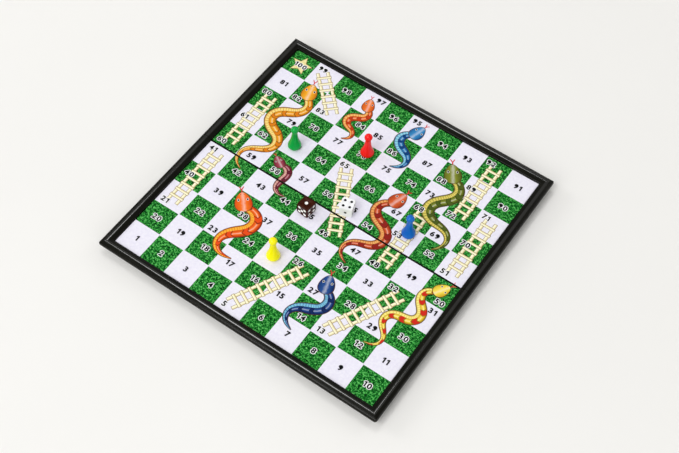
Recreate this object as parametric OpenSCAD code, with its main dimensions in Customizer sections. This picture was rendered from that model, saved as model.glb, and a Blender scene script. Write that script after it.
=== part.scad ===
// Folding snakes and ladders board with its pawns and dice.
// X runs along square 1 to square 10, Y runs up the rows, Z is up.
// The origin is on the table under the middle of the open board.
// The two halves meet at Y = 0 and fold there about a hinge under the playing surface.

/* [Playing surface] */
// Side of one printed square
square_w = 22.5; // [18:0.5:30]
// Squares in one row
columns = 10; // [6:2:12]
// Rows of squares on each half of the board
half_rows = 5; // [3:1:6]
// Bare edge of the printed sheet beside the columns
sheet_side_margin = 0.1; // [0.1:0.05:2]
// Bare edge of the printed sheet at the rows' outer end
sheet_end_margin = 0.35; // [0.1:0.05:2]
// Thickness of the printed sheet
sheet_t = 0.3; // [0.2:0.05:0.6]
// Thickness of the steel plate under the printed sheet
plate_t = 0.5; // [0.3:0.1:1]
// Gap between the sheet's edge and the rim
sheet_gap = 0.4; // [0.2:0.1:1]

/* [Rim] */
// Width of the raised rim seen from above
rim_w = 8.4; // [7.5:0.1:12]
// Height of the rim's inner wall over the sheet
rim_inner_h = 1.1; // [0.6:0.1:1.6]
// Height of the rim's ridge over the sheet
ridge_h = 2.8; // [2.2:0.1:4]
// Distance of the ridge from the board's outer edge
ridge_in = 4.2; // [3:0.1:5]
// Height of the rim's shoulder over the sheet
shoulder_h = 1.5; // [0.8:0.1:1.9]
// Distance of the shoulder from the board's outer edge
shoulder_in = 0.7; // [0.3:0.1:1.5]
// Depth of the rim's skirt under the sheet's face
skirt_h = 1.8; // [1:0.1:2]
// Radius of the rim's outer corners
corner_r = 1.8; // [1:0.1:4]

/* [Case] */
// Thickness of the case's side walls
wall_t = 1.6; // [1.2:0.1:2]
// How far the rim stands out over the side walls
overhang = 3; // [1.5:0.1:4]
// Thickness of the case's floor under the steel plate
floor_t = 1.2; // [0.8:0.1:2]
// Depth of the hollow in each half
cavity_h = 5.4; // [5.3:0.1:9]
// Gap between the two halves at the fold
seam_gap = 0.3; // [0.2:0.05:0.6]
// Thickness of the lip beside the fold
lip_t = 0.6; // [0.4:0.05:1]
// Gap between the two halves' rims when the board is shut
parting_gap = 0.2; // [0.1:0.05:0.4]

/* [Hinge] */
// Outer radius of a hinge knuckle
knuckle_r = 1.5; // [1.3:0.05:2]
// Length of a hinge knuckle
knuckle_len = 9; // [6:0.5:14]
// Running gap round and beside a knuckle
knuckle_gap = 0.3; // [0.2:0.05:0.5]
// Height of the knuckles over the table
knuckle_lift = 0.1; // [0.05:0.05:0.3]
// Distance of each hinge's middle from the board's side
hinge_inset = 42; // [30:1:50]
// Radius of the hinge pin
pin_r = 0.6; // [0.5:0.05:0.8]
// Running clearance round the hinge pin
pin_clear = 0.05; // [0.02:0.01:0.08]
// Wall that closes the outer end of the pin's bore
pin_end_t = 0.8; // [0.5:0.1:2]

/* [Feet] */
// Width of a foot
foot_w = 12; // [8:1:16]
// Thickness of a foot
foot_t = 1.5; // [1:0.1:2.5]
// Gap between a foot and the other half's wall when the board is shut
foot_gap = 0.3; // [0.2:0.05:0.5]
// Height of a foot's root on its wall
foot_root = 2.6; // [1.5:0.1:4]
// Distance of the first outer feet from the board's side
foot_inset = 22; // [16:1:26]

/* [Pawns] */
// Radius of a pawn's foot
pawn_r = 5.2; // [4:0.1:6]
// Height of a pawn
pawn_h = 23.4; // [20:0.2:30]
// Radius of a pawn's head
head_r = 3.1; // [2.2:0.1:3.4]
// Radius of a pawn's neck
neck_r = 2; // [1.2:0.1:2.2]
// Radius of the rounding at a pawn's foot
foot_round_r = 1.2; // [0.6:0.1:1.6]
// Height of the widest ring of a pawn
pawn_ring_h = 2.6; // [2.2:0.1:4]
// Radius of a pawn's magnet
magnet_r = 3; // [2:0.1:3.2]
// Thickness of a pawn's magnet
magnet_t = 1.5; // [1:0.1:2]
// Depth of the magnet's face inside the pawn's foot
magnet_inset = 0.3; // [0.1:0.1:0.6]
// Clearance round a pawn's magnet
magnet_gap = 0.05; // [0.02:0.01:0.1]

/* [Dice] */
// Edge of a die
die_edge = 10; // [8:0.5:14]
// Radius of the ball that rounds a die's corners
die_ball_r = 8; // [7.4:0.1:8.4]
// Radius of a pip at the die's face
pip_r = 1; // [0.7:0.05:1.2]
// Depth of a pip
pip_depth = 0.4; // [0.2:0.05:0.6]

/* [Hidden] */
// Overrun of every cut and of every piece that is rooted in another
over = 0.5;
$fn = 64;

// Places of the pieces: which half, share of the half's width, share of its depth from the fold
green_place_shares = [1, -0.515, 0.287];
red_place_shares = [1, -0.08, 0.529];
yellow_place_shares = [-1, -0.107, 0.499];
blue_place_shares = [1, 0.505, 0.144];
// Places of the dice: which half, share of the half's width, share of a die's edge from the fold
dark_die_place_shares = [-1, -0.1416, 0.955];
white_die_place_shares = [1, 0.078, 0.64];
// Turn of each die on the board
dark_die_turn = -5.5;
white_die_turn = 16.7;
// Share of a die's edge between its middle and an outer pip
pip_offset_share = 0.25;
// Share of the neck's height where a pawn's flank is drawn in most
flank_height_share = 0.5;
// Share of the step from foot to neck that the flank has taken there
flank_step_share = 0.55;

// Levels over the table
hinge_z = knuckle_r + knuckle_lift;
parting_z = hinge_z + parting_gap / 2;
ceiling_z = parting_z + cavity_h;
plate_z = ceiling_z + floor_t;
sheet_z = plate_z + plate_t;
face_z = sheet_z + sheet_t;

// Plan sizes of one half
seam_y = seam_gap / 2;
sheet_y = seam_y + lip_t;
play_half_w = columns * square_w / 2;
play_depth = half_rows * square_w;
sheet_half_w = play_half_w + sheet_side_margin;
sheet_end_y = sheet_y + play_depth + sheet_end_margin;
recess_half_w = sheet_half_w + sheet_gap;
recess_end_y = sheet_end_y + sheet_gap;
board_half_w = recess_half_w + rim_w;
board_end_y = recess_end_y + rim_w;
wall_in = overhang + wall_t;
seam_wall_y = seam_y + wall_t;

// Hinge and feet
hinge_x = board_half_w - hinge_inset;
knuckle_pitch = knuckle_len + knuckle_gap;
hinge_half_len = knuckle_pitch + knuckle_len / 2;
bore_r = pin_r + pin_clear;
outer_foot_x = board_half_w - foot_inset;
second_foot_x = outer_foot_x - foot_w * 3 / 2;

// Pawn
head_z = pawn_h - head_r;
neck_z = head_z - sqrt(head_r * head_r - neck_r * neck_r);
waist_z = pawn_ring_h + (neck_z - pawn_ring_h) * flank_height_share;
waist_r = pawn_r + (neck_r - pawn_r) * flank_step_share;

// Pip
pip_ball_r = (pip_r * pip_r + pip_depth * pip_depth) / (2 * pip_depth);

// Outline of the rim and wall in one direction, from the middle out to the edge at distance d
module outer_profile(d) {
    polygon([
        [0, parting_z],
        [d - overhang, parting_z],
        [d - overhang, face_z - skirt_h],
        [d, face_z - skirt_h],
        [d, face_z],
        [d - shoulder_in, face_z + shoulder_h],
        [d - ridge_in, face_z + ridge_h],
        [0, face_z + ridge_h],
    ]);
}

// Outline of the space over the steel plate's bed, from the middle out to the recess wall at distance d
module recess_profile(d) {
    polygon([
        [-over, plate_z],
        [d, plate_z],
        [d, face_z + rim_inner_h],
        [d + rim_w - ridge_in, face_z + ridge_h],
        [d + rim_w - ridge_in, face_z + ridge_h + over],
        [-over, face_z + ridge_h + over],
    ]);
}

// Runs a profile along the width: the profile's own X becomes Y
module run_along_x(half_len) {
    translate([-half_len, 0, 0]) rotate([90, 0, 90]) linear_extrude(2 * half_len) children();
}

// Runs a profile and its mirror image along the depth
module run_along_y(length) {
    translate([0, length, 0]) rotate([90, 0, 0]) linear_extrude(length) {
        children();
        mirror([1, 0, 0]) children();
    }
}

// Plan of the whole board with its round outer corners
module board_plan() {
    corner_x = board_half_w - corner_r;
    corner_y = board_end_y - corner_r;
    translate([-board_half_w, -corner_y]) square([2 * board_half_w, 2 * corner_y]);
    translate([-corner_x, -board_end_y]) square([2 * corner_x, 2 * board_end_y]);
    for (x = [-corner_x, corner_x], y = [-corner_y, corner_y])
        translate([x, y]) circle(corner_r);
}

// Solid outside of one half, drawn on the far side
module half_outside() {
    intersection() {
        run_along_x(board_half_w) outer_profile(board_end_y);
        run_along_y(board_end_y) outer_profile(board_half_w);
        linear_extrude(face_z + ridge_h) board_plan();
        translate([-board_half_w, seam_y, 0])
            cube([2 * board_half_w, board_end_y, face_z + ridge_h]);
    }
}

// Recess for the plate and sheet, open to the sky, that stops at the lip beside the fold
module half_recess() {
    intersection() {
        run_along_x(board_half_w) recess_profile(recess_end_y);
        run_along_y(board_end_y) recess_profile(recess_half_w);
        translate([-board_half_w, sheet_y, 0])
            cube([2 * board_half_w, board_end_y, face_z + ridge_h + over]);
    }
    translate([-recess_half_w, 0, face_z])
        cube([2 * recess_half_w, sheet_y + over, ridge_h + over]);
    intersection() {
        run_along_y(sheet_y + over) recess_profile(recess_half_w);
        translate([-board_half_w, 0, face_z])
            cube([2 * board_half_w, sheet_y + over, ridge_h + over]);
    }
}

// Hollow under the floor
module half_hollow() {
    hollow_half_w = board_half_w - wall_in;
    translate([-hollow_half_w, seam_wall_y, 0])
        cube([2 * hollow_half_w, board_end_y - wall_in - seam_wall_y, ceiling_z]);
}

// One foot whose wall face is the plane Y = 0 and whose wall is on the -Y side
module foot() {
    translate([-foot_w / 2, foot_gap, 0]) cube([foot_w, foot_t, parting_z + foot_root]);
    translate([-foot_w / 2, -over, parting_z + foot_gap])
        cube([foot_w, foot_gap + foot_t + over, foot_root - foot_gap]);
}

// Feet of one half: two on the outer wall and one on the fold's wall, each given by its X place
module half_feet(outer_x, seam_x) {
    for (x = [-outer_x, outer_x])
        translate([x, board_end_y - wall_in, 0]) mirror([0, 1, 0]) foot();
    translate([seam_x, seam_wall_y, 0]) foot();
}

// Cylinder on the hinge axis, centred at x
module hinge_rod(x, r, length) {
    translate([x - length / 2, 0, hinge_z]) rotate([0, 90, 0]) cylinder(r = r, h = length);
}

// Knuckles of one half at both hinges, given by their offsets from the hinge's middle
module knuckles(offsets) {
    for (side = [-1, 1], offset = offsets)
        hinge_rod(side * hinge_x + offset, knuckle_r, knuckle_len);
}

// Room round the other half's knuckles
module knuckle_room(offsets) {
    for (side = [-1, 1], offset = offsets)
        hinge_rod(side * hinge_x + offset, knuckle_r + knuckle_gap, knuckle_len + 2 * knuckle_gap);
}

// Bores for both pins, open towards the middle of the board so that the pins can go in
module pin_bores() {
    bore_len = 4 * hinge_half_len - pin_end_t;
    for (side = [-1, 1])
        hinge_rod(side * (hinge_x + hinge_half_len - pin_end_t - bore_len / 2), bore_r, bore_len);
}

// Outer knuckles belong to the near half and the middle one to the far half
outer_offsets = [-knuckle_pitch, knuckle_pitch];
middle_offsets = [0];

// Half of the case, on the far side
module half_case(own_offsets, other_offsets, outer_foot, seam_foot) {
    difference() {
        union() {
            difference() {
                half_outside();
                half_recess();
                half_hollow();
            }
            half_feet(outer_foot, seam_foot);
            knuckles(own_offsets);
        }
        knuckle_room(other_offsets);
        pin_bores();
    }
}

module near_shell() {
    color([0.05, 0.05, 0.055])
        mirror([0, 1, 0]) half_case(outer_offsets, middle_offsets, outer_foot_x, -foot_w);
}

module far_shell() {
    color([0.05, 0.05, 0.055])
        half_case(middle_offsets, outer_offsets, second_foot_x, foot_w);
}

// Flat sheet in the recess of the far half
module bed_sheet(z, t) {
    translate([-sheet_half_w, sheet_y, z])
        cube([2 * sheet_half_w, sheet_end_y - sheet_y, t]);
}

module near_steel_plate() {
    color([0.6, 0.62, 0.64]) mirror([0, 1, 0]) bed_sheet(plate_z, plate_t);
}

module far_steel_plate() {
    color([0.6, 0.62, 0.64]) bed_sheet(plate_z, plate_t);
}

module near_printed_sheet() {
    color([0.25, 0.6, 0.3]) mirror([0, 1, 0]) bed_sheet(sheet_z, sheet_t);
}

module far_printed_sheet() {
    color([0.25, 0.6, 0.3]) bed_sheet(sheet_z, sheet_t);
}

// Pin in the bore, drawn back a little from the bore's closed end
module hinge_pin(side) {
    pin_len = 2 * hinge_half_len - pin_end_t - 2 * knuckle_gap;
    color([0.7, 0.71, 0.73])
        hinge_rod(side * (hinge_x - pin_end_t / 2), pin_r, pin_len);
}

module left_hinge_pin() {
    hinge_pin(-1);
}

module right_hinge_pin() {
    hinge_pin(1);
}

// Puts a pawn on its square
module at_square(shares) {
    translate([
        shares[1] * play_half_w,
        shares[0] * (sheet_y + shares[2] * play_depth),
        face_z,
    ]) children();
}

// Turned pawn: round-edged foot, flanks that sweep in to the neck, and a ball head
module pawn() {
    difference() {
        rotate_extrude() {
            polygon([
                [0, 0],
                [pawn_r - foot_round_r, 0],
                [pawn_r - foot_round_r, foot_round_r],
                [pawn_r, foot_round_r],
                [pawn_r, pawn_ring_h],
                [waist_r, waist_z],
                [neck_r, neck_z],
                [0, neck_z],
            ]);
            translate([pawn_r - foot_round_r, foot_round_r]) circle(foot_round_r);
            intersection() {
                translate([0, head_z]) circle(head_r);
                translate([0, head_z - head_r]) square([head_r, 2 * head_r]);
            }
        }
        translate([0, 0, -over])
            cylinder(r = magnet_r + magnet_gap, h = over + magnet_inset + magnet_t);
    }
}

module magnet(shares) {
    color([0.45, 0.45, 0.47])
        at_square(shares) translate([0, 0, magnet_inset]) cylinder(r = magnet_r, h = magnet_t);
}

module green_pawn() {
    color([0.02, 0.55, 0.25]) at_square(green_place_shares) pawn();
}

module red_pawn() {
    color([0.85, 0.1, 0.08]) at_square(red_place_shares) pawn();
}

module yellow_pawn() {
    color([0.95, 0.9, 0.15]) at_square(yellow_place_shares) pawn();
}

module blue_pawn() {
    color([0.1, 0.35, 0.75]) at_square(blue_place_shares) pawn();
}

module green_pawn_magnet() {
    magnet(green_place_shares);
}

module red_pawn_magnet() {
    magnet(red_place_shares);
}

module yellow_pawn_magnet() {
    magnet(yellow_place_shares);
}

module blue_pawn_magnet() {
    magnet(blue_place_shares);
}

// Pips of each value, in steps of the pip offset from the middle of a face
pip_steps = [
    [[0, 0]],
    [[-1, 1], [1, -1]],
    [[-1, 1], [0, 0], [1, -1]],
    [[-1, -1], [-1, 1], [1, -1], [1, 1]],
    [[-1, -1], [-1, 1], [0, 0], [1, -1], [1, 1]],
    [[-1, -1], [-1, 0], [-1, 1], [1, -1], [1, 0], [1, 1]],
];
// Turns that carry the top face to each face: top, bottom, front, back, right, left
face_turns = [[0, 0, 0], [180, 0, 0], [90, 0, 0], [-90, 0, 0], [0, 90, 0], [0, -90, 0]];

// Die with rounded corners and sunk pips, standing on the plane Z = 0
module die(values) {
    difference() {
        translate([0, 0, die_edge / 2]) intersection() {
            cube(die_edge, center = true);
            sphere(die_ball_r);
        }
        for (face = [0:5], step = pip_steps[values[face] - 1])
            translate([0, 0, die_edge / 2]) rotate(face_turns[face])
                translate([
                    step[0] * die_edge * pip_offset_share,
                    step[1] * die_edge * pip_offset_share,
                    die_edge / 2 + pip_ball_r - pip_depth,
                ]) sphere(pip_ball_r);
    }
}

// Puts a die on its half
module at_fold(shares, turn) {
    translate([
        shares[1] * play_half_w,
        shares[0] * (sheet_y + shares[2] * die_edge),
        face_z,
    ]) rotate([0, 0, turn]) children();
}

module dark_die() {
    color([0.2, 0.12, 0.08])
        at_fold(dark_die_place_shares, dark_die_turn) die([1, 6, 5, 2, 4, 3]);
}

module white_die() {
    color([0.95, 0.95, 0.93])
        at_fold(white_die_place_shares, white_die_turn) die([4, 3, 1, 6, 2, 5]);
}

near_shell();
far_shell();
near_steel_plate();
far_steel_plate();
near_printed_sheet();
far_printed_sheet();
left_hinge_pin();
right_hinge_pin();
green_pawn();
red_pawn();
yellow_pawn();
blue_pawn();
green_pawn_magnet();
red_pawn_magnet();
yellow_pawn_magnet();
blue_pawn_magnet();
dark_die();
white_die();
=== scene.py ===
# Looks of the folding snakes and ladders board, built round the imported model.
# Lengths are in metres, in the model's own frame: X along the rows, Y up the rows, Z up.
import math

import bmesh
import bpy
from mathutils import Euler, Matrix, Vector
from mathutils.geometry import delaunay_2d_cdt, interpolate_bezier


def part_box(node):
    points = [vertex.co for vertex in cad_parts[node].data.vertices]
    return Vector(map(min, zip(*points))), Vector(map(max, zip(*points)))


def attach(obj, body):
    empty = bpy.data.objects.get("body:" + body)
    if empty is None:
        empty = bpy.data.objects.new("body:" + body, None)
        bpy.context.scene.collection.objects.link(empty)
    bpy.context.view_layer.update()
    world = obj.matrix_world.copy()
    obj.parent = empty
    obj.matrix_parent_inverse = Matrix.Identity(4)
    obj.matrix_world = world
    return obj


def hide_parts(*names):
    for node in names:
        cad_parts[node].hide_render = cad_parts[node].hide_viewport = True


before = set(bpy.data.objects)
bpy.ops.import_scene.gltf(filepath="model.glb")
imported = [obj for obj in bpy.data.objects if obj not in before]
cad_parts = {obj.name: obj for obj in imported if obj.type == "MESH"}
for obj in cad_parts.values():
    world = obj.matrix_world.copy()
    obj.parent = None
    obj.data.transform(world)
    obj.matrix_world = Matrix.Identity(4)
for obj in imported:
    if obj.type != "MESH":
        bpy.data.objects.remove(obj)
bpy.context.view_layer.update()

MM = 0.001

# Playing surface, from the frame
far_low, far_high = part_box("far_printed_sheet")
FACE_Z = far_high[2]
FOLD_Y = far_low[1]
SIDE_MARGIN = 0.1 * MM
COLUMNS = 10
HALF_ROWS = 5
HALF_W = far_high[0] - SIDE_MARGIN
SQUARE = 2 * HALF_W / COLUMNS
ROWS = 2 * HALF_ROWS

# Width of the pale line round a green square, as a share of the square
SQUARE_LINE = 0.013

# Ink lies on the sheet in layers this far apart
LAYER = 0.02 * MM
INK = 0.015 * MM

# Points nearer than this are one point, and faces within this angle are one face
WELD = 0.001 * MM
FLAT_ANGLE = math.radians(0.5)
# Edges that turn by less than this are left sharp
ROUND_ANGLE = math.radians(18)


def srgb(red, green, blue):
    """A colour given as a screen shows it, 0 to 255, as the linear values that a shader takes."""
    def linear(value):
        share = value / 255
        return share / 12.92 if share <= 0.04045 else ((share + 0.055) / 1.055) ** 2.4
    return (linear(red), linear(green), linear(blue), 1.0)


# Node helpers

class Shader:
    """A material and short calls that add nodes to it."""

    def __init__(self, name):
        self.material = bpy.data.materials.new(name)
        self.material.use_nodes = True
        self.tree = self.material.node_tree
        self.surface = self.tree.nodes["Principled BSDF"]

    def add(self, kind, **settings):
        made = self.tree.nodes.new(kind)
        for name, value in settings.items():
            setattr(made, name, value)
        return made

    def join(self, source, target):
        self.tree.links.new(source, target)

    def feed(self, target, value):
        """Links a socket, or sets a plain value."""
        if isinstance(value, bpy.types.NodeSocket):
            self.join(value, target)
        else:
            target.default_value = value

    def maths(self, operation, first, second=0.0, third=0.0):
        made = self.add("ShaderNodeMath", operation=operation)
        for place, value in enumerate((first, second, third)):
            self.feed(made.inputs[place], value)
        return made.outputs[0]

    def mix(self, factor, first, second, blend="MIX"):
        made = self.add("ShaderNodeMix", data_type="RGBA", blend_type=blend)
        self.feed(made.inputs["Factor"], factor)
        self.feed(made.inputs["A"], first)
        self.feed(made.inputs["B"], second)
        return made.outputs["Result"]

    def place(self):
        return self.add("ShaderNodeTexCoord").outputs["Object"]

    def split(self, vector):
        made = self.add("ShaderNodeSeparateXYZ")
        self.join(vector, made.inputs[0])
        return made.outputs

    def noise(self, scale, detail=2.0, roughness=0.5, vector=None):
        """Noise of scale grains to the metre, or to the unit of another vector."""
        made = self.add("ShaderNodeTexNoise")
        made.inputs["Scale"].default_value = scale
        made.inputs["Detail"].default_value = detail
        made.inputs["Roughness"].default_value = roughness
        self.join(vector or self.place(), made.inputs["Vector"])
        return made.outputs["Fac"]

    def ramp(self, factor, *stops):
        """stops are (place, colour) pairs, in order."""
        made = self.add("ShaderNodeValToRGB")
        self.feed(made.inputs[0], factor)
        points = made.color_ramp.elements
        while len(points) < len(stops):
            points.new(0.5)
        for point, (at, colour) in zip(points, stops):
            point.position = at
            point.color = colour
        return made.outputs["Color"]

    def spread(self, factor, low, high):
        """A 0 to 1 value spread between two limits."""
        made = self.add("ShaderNodeMapRange")
        self.feed(made.inputs["Value"], factor)
        made.inputs["To Min"].default_value = low
        made.inputs["To Max"].default_value = high
        return made.outputs["Result"]

    def bump(self, height, depth, strength):
        made = self.add("ShaderNodeBump")
        made.inputs["Strength"].default_value = strength
        made.inputs["Distance"].default_value = depth
        self.join(height, made.inputs["Height"])
        self.join(made.outputs[0], self.surface.inputs["Normal"])

    def finish(self, colour, roughness, specular=0.5, metallic=0.0):
        self.feed(self.surface.inputs["Base Color"], colour)
        self.feed(self.surface.inputs["Roughness"], roughness)
        self.surface.inputs["Specular IOR Level"].default_value = specular
        self.surface.inputs["Metallic"].default_value = metallic
        return self.material


# Materials

def case_plastic(name, rough_low, rough_high, specular, grain_depth):
    """Black moulded plastic with a faint grain, a little greyer where it is rubbed."""
    shader = Shader(name)
    rubbed = shader.noise(60.0, detail=4.0, roughness=0.6)
    colour = shader.ramp(rubbed, (0.35, srgb(7, 7, 2)), (0.7, srgb(14, 14, 6)))
    shader.bump(shader.noise(2600.0), grain_depth, strength=0.4)
    return shader.finish(colour, shader.spread(rubbed, rough_low, rough_high), specular=specular)


def turned_plastic(name, colour, deep):
    """Glossy coloured plastic of the pawns, slightly uneven in colour and gloss."""
    shader = Shader(name)
    flow = shader.noise(140.0, detail=3.0, roughness=0.55)
    body = shader.ramp(flow, (0.3, deep), (0.65, colour))
    shader.bump(shader.noise(500.0), 0.02 * MM, strength=0.2)
    return shader.finish(body, shader.spread(flow, 0.16, 0.26), specular=0.32)


def die_plastic(name, colour, deep):
    """Polished plastic of the dice with a faint cloudiness."""
    shader = Shader(name)
    cloud = shader.noise(220.0, detail=4.0, roughness=0.6)
    body = shader.ramp(cloud, (0.3, deep), (0.7, colour))
    shader.bump(shader.noise(900.0), 0.01 * MM, strength=0.3)
    return shader.finish(body, shader.spread(cloud, 0.2, 0.3), specular=0.07)


def drawn_steel(name, along_scale):
    """Steel with fine drawing marks."""
    shader = Shader(name)
    stretch = shader.add("ShaderNodeMapping")
    stretch.inputs["Scale"].default_value = along_scale
    shader.join(shader.place(), stretch.inputs["Vector"])
    marks = shader.noise(1.0, detail=3.0, roughness=0.6, vector=stretch.outputs[0])
    colour = shader.ramp(marks, (0.3, srgb(150, 152, 155)), (0.7, srgb(190, 192, 195)))
    shader.bump(marks, 0.01 * MM, strength=0.3)
    return shader.finish(colour, shader.spread(marks, 0.25, 0.42), metallic=1.0)


def ferrite():
    """Dull grey ceramic of the magnets."""
    shader = Shader("ferrite")
    grit = shader.noise(3000.0, detail=3.0)
    colour = shader.ramp(grit, (0.3, srgb(48, 47, 48)), (0.7, srgb(76, 75, 76)))
    shader.bump(grit, 0.02 * MM, strength=0.5)
    return shader.finish(colour, shader.spread(grit, 0.5, 0.7))


# How far inside the board's edge the pattern is held, in squares, and the tufts' share of the grass
PATTERN_HOLD = 0.02
TUFT_SHARE = 0.35


def printed_squares():
    """Green grass squares with a thin pale line round each, on pale lilac paper."""
    shader = Shader("printed_squares")
    place = shader.place()
    x, y, _ = shader.split(place)

    def cell(distance, count):
        """Number of the square along one direction, and the way to its nearest edge."""
        squares = shader.maths("DIVIDE", distance, SQUARE)
        held = shader.maths(
            "MINIMUM", shader.maths("MAXIMUM", squares, PATTERN_HOLD), count - PATTERN_HOLD
        )
        number = shader.maths("FLOOR", held)
        off_middle = shader.maths(
            "ABSOLUTE", shader.maths("SUBTRACT", shader.maths("SUBTRACT", held, number), 0.5)
        )
        return number, off_middle

    column, off_x = cell(shader.maths("ADD", x, HALF_W), COLUMNS)
    row, off_y = cell(shader.maths("SUBTRACT", shader.maths("ABSOLUTE", y), FOLD_Y), HALF_ROWS)
    far_side = shader.maths("GREATER_THAN", y, 0.0)
    total = shader.maths("ADD", shader.maths("ADD", column, row), far_side)
    green = shader.maths("GREATER_THAN", shader.maths("FLOORED_MODULO", total, 2.0), 0.5)
    inside = shader.maths("LESS_THAN", shader.maths("MAXIMUM", off_x, off_y), 0.5 - SQUARE_LINE)
    blades = shader.noise(1400.0, detail=3.0, roughness=0.8, vector=place)
    tufts = shader.noise(560.0, roughness=0.6, vector=place)
    mixed = shader.maths(
        "MULTIPLY_ADD", tufts, TUFT_SHARE, shader.maths("MULTIPLY", blades, 1 - TUFT_SHARE)
    )
    lawn = shader.ramp(
        mixed,
        (0.43, srgb(0, 24, 6)),
        (0.48, srgb(0, 90, 22)),
        (0.53, srgb(18, 140, 42)),
        (0.58, srgb(112, 210, 108)),
    )
    paper = shader.ramp(
        shader.noise(520.0, detail=3.0, roughness=0.6, vector=place),
        (0.3, srgb(231, 228, 243)),
        (0.7, srgb(241, 239, 249)),
    )
    colour = shader.mix(shader.maths("MULTIPLY", green, inside), paper, lawn)
    shader.bump(shader.noise(1500.0, vector=place), 0.004 * MM, strength=0.3)
    return shader.finish(colour, shader.spread(tufts, 0.5, 0.6), specular=0.06)


def flat_ink(name, colour, second):
    """Printed ink of one colour with the faint unevenness of print."""
    shader = Shader(name)
    body = shader.ramp(shader.noise(900.0), (0.35, colour), (0.65, second))
    return shader.finish(body, shader.spread(shader.noise(500.0), 0.5, 0.6), specular=0.08)


# Across a snake, 0 to 1: the lit ridge of the back, the back's end and the belly's start
RIDGE = 0.33
BACK_END = 0.64
BELLY_START = 0.66
# How strongly the bands on the back slant, and the width of their dark edge as a share of the pitch
BAND_SLANT = 0.5
BAND_EDGE = 0.07
# The belly's plates: their pitch in squares and the share of it that the line between two takes
PLATE_PITCH = 0.085
PLATE_LINE = 0.14
# How far the pattern wanders along the body, and the share of that across it
WANDER = 0.06
WANDER_ACROSS = 0.6
# Share of white in the lit ridge, and of the flank's colour in the dark edges
GLOW_SHARE = 0.45
DARK_SHARE = 0.45


def snake_ink(name, back, flank, belly, band, pitch, band_share):
    """Skin of a printed snake. The strip's own map runs along the body in X and across it in Y."""
    shader = Shader(name)
    route = shader.add("ShaderNodeUVMap", uv_map="route").outputs[0]
    along, across, _ = shader.split(route)
    wobble = shader.maths("MULTIPLY_ADD", shader.noise(420.0), 2 * WANDER, -WANDER)
    spot = shader.maths("ADD", across, shader.maths("MULTIPLY", wobble, WANDER_ACROSS))
    glow = tuple((1 - GLOW_SHARE) * value + GLOW_SHARE for value in back[:3]) + (1.0,)
    dark = tuple(DARK_SHARE * value for value in flank[:3]) + (1.0,)
    body = shader.ramp(
        spot, (0.0, dark), (0.12, flank), (0.26, back), (RIDGE, glow), (0.42, back),
        (0.62, flank), (BELLY_START, belly), (0.88, belly), (1.0, dark),
    )
    # Chevron bands on the back, each with a dark edge, and fine plates on the belly
    off_ridge = shader.maths("ABSOLUTE", shader.maths("SUBTRACT", spot, RIDGE))
    slant = shader.maths("MULTIPLY", off_ridge, BAND_SLANT)
    step = shader.maths("DIVIDE", along, pitch)
    way = shader.maths("FRACT", shader.maths("ADD", step, shader.maths("ADD", slant, wobble)))
    off_band = shader.maths("ABSOLUTE", shader.maths("SUBTRACT", way, 0.5))
    on_back = shader.maths("LESS_THAN", spot, BACK_END)
    outer = shader.maths("LESS_THAN", off_band, band_share / 2)
    edged = shader.mix(shader.maths("MULTIPLY", on_back, outer), body, dark)
    inner = shader.maths("LESS_THAN", off_band, band_share / 2 - BAND_EDGE)
    banded = shader.mix(shader.maths("MULTIPLY", on_back, inner), edged, band)
    plate_way = shader.maths("FRACT", shader.maths("DIVIDE", along, PLATE_PITCH))
    plate = shader.maths("LESS_THAN", plate_way, PLATE_LINE)
    on_belly = shader.maths("GREATER_THAN", spot, BELLY_START)
    plated = shader.mix(shader.maths("MULTIPLY", plate, on_belly), banded, flank)
    patches = shader.spread(shader.noise(260.0, detail=3.0), 0.0, 0.5)
    painted = shader.mix(patches, plated, back, "MULTIPLY")
    return shader.finish(painted, shader.spread(wobble, 0.5, 0.6), specular=0.08)


def wood_ink():
    """Pale wood of the printed ladders, with grain along each bar and a shaded side."""
    shader = Shader("wood_ink")
    route = shader.add("ShaderNodeUVMap", uv_map="route").outputs[0]
    stretch = shader.add("ShaderNodeMapping")
    stretch.inputs["Scale"].default_value = (3.0, 9.0, 1.0)
    shader.join(route, stretch.inputs["Vector"])
    grain = shader.noise(2.0, detail=3.0, roughness=0.6, vector=stretch.outputs[0])
    _, across, _ = shader.split(route)
    body = shader.ramp(grain, (0.35, srgb(238, 224, 164)), (0.55, srgb(253, 249, 218)))
    edge = shader.ramp(
        across, (0.0, srgb(255, 253, 232)), (0.55, srgb(252, 246, 206)),
        (0.8, srgb(222, 204, 140)), (1.0, srgb(186, 162, 100)),
    )
    colour = shader.mix(0.6, body, edge)
    return shader.finish(colour, shader.spread(grain, 0.5, 0.6), specular=0.08)


def floor_paper():
    """Pale matt paper under the board."""
    shader = Shader("floor_paper")
    tone = shader.ramp(
        shader.noise(3.0), (0.3, srgb(240, 239, 236)), (0.7, srgb(242, 241, 238))
    )
    return shader.finish(tone, 0.9, specular=0.1)


# The case is glossier on the rim's crest and dull in the seam
CASE = case_plastic(
    "case_plastic", rough_low=0.14, rough_high=0.22, specular=0.18, grain_depth=0.02 * MM
)
FOLD_CASE = case_plastic(
    "fold_plastic", rough_low=0.55, rough_high=0.7, specular=0.1, grain_depth=0.02 * MM
)
CREST_CASE = case_plastic(
    "crest_plastic", rough_low=0.09, rough_high=0.13, specular=0.9, grain_depth=0.004 * MM
)
SHEET = printed_squares()
STEEL_PLATE = drawn_steel("plate_steel", (40.0, 1800.0, 1800.0))
STEEL_PIN = drawn_steel("pin_steel", (60.0, 2500.0, 2500.0))
FERRITE = ferrite()
NUMBER_INK = flat_ink("number_ink", srgb(8, 8, 10), srgb(20, 20, 22))
HALO_INK = flat_ink("halo_ink", srgb(252, 252, 252), srgb(244, 244, 248))
OUTLINE_INK = flat_ink("outline_ink", srgb(70, 44, 24), srgb(98, 66, 36))
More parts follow.
